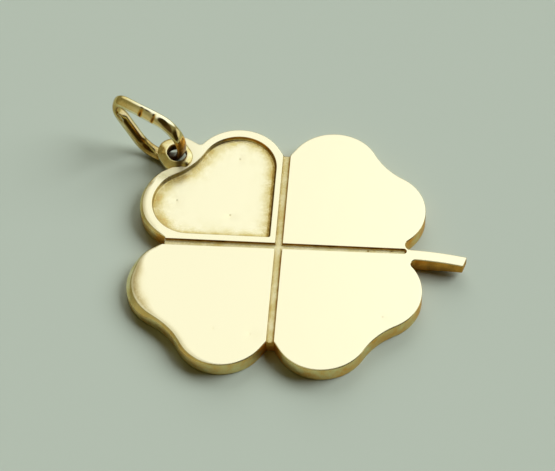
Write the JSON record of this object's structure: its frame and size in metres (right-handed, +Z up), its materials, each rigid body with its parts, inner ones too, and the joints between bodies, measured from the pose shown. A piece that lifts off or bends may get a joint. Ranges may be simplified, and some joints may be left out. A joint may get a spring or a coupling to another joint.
{
  "type": "four leaf clover pendant",
  "caption": "Gold plate pendant in the outline of a four leaf clover, with grooves between the leaves, a sunk heart field, a short stem, and an eye with a loose jump ring for a chain.",
  "frame": {"origin": "middle of the cross of grooves, on the plate's flat back face, which lies on the surface", "axes": "+X along the horizontal groove towards the stem, +Y towards the two leaves away from the camera, +Z up out of the plate's face"},
  "size_m": [0.0256, 0.0202, 0.0048],
  "materials": {
    "gold": "polished"
  },
  "bodies": {
    "root": {"clover_plate": "gold", "jump_ring": "gold"}
  },
  "joints": []
}
